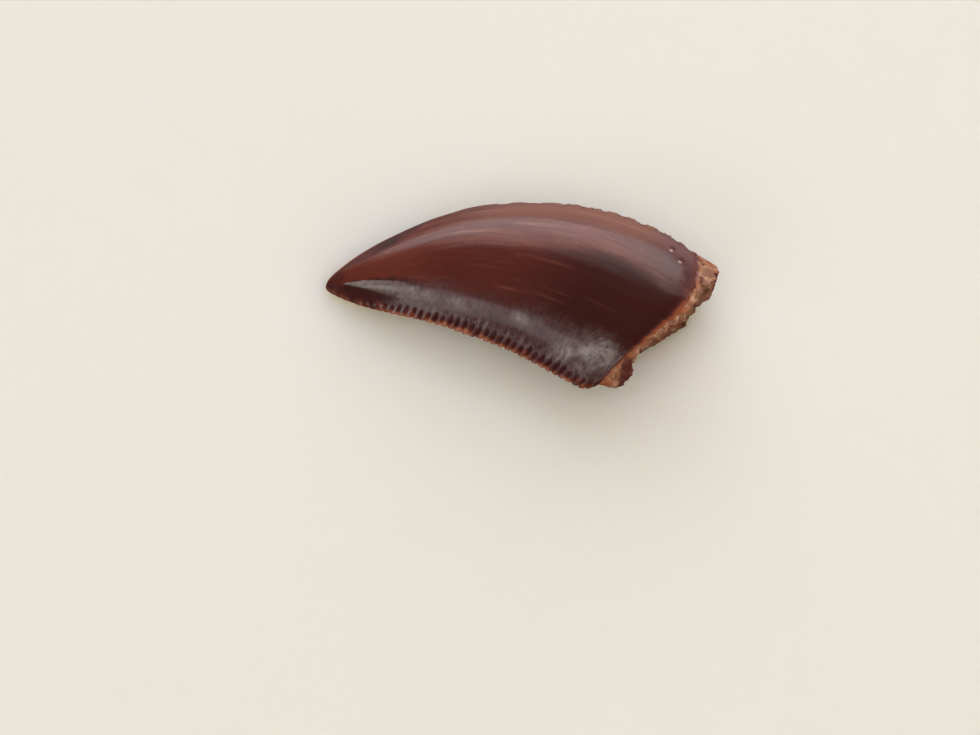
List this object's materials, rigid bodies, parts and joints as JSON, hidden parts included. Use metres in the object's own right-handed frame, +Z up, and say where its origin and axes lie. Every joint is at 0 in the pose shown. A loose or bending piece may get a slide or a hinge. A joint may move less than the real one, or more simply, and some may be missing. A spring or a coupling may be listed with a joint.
{
  "type": "fossil tooth",
  "caption": "Fossil meat-eating dinosaur tooth crown lying on its side: curved, flattened, with a serrated back edge and a broken root end.",
  "frame": {"origin": "under the middle of the tooth, on the surface that it lies on", "axes": "+X from the point to the broken root end, +Y towards the curved front edge, -Y towards the serrated back edge, +Z up, out of the surface that the tooth lies on"},
  "size_m": [0.0216, 0.0108, 0.0047],
  "materials": {
    "fossil_enamel": "glossy mahogany-brown fossil enamel with fine growth streaks, and rough orange-tan dentine at the broken end"
  },
  "bodies": {
    "root": {"tooth": "fossil_enamel"}
  },
  "joints": []
}
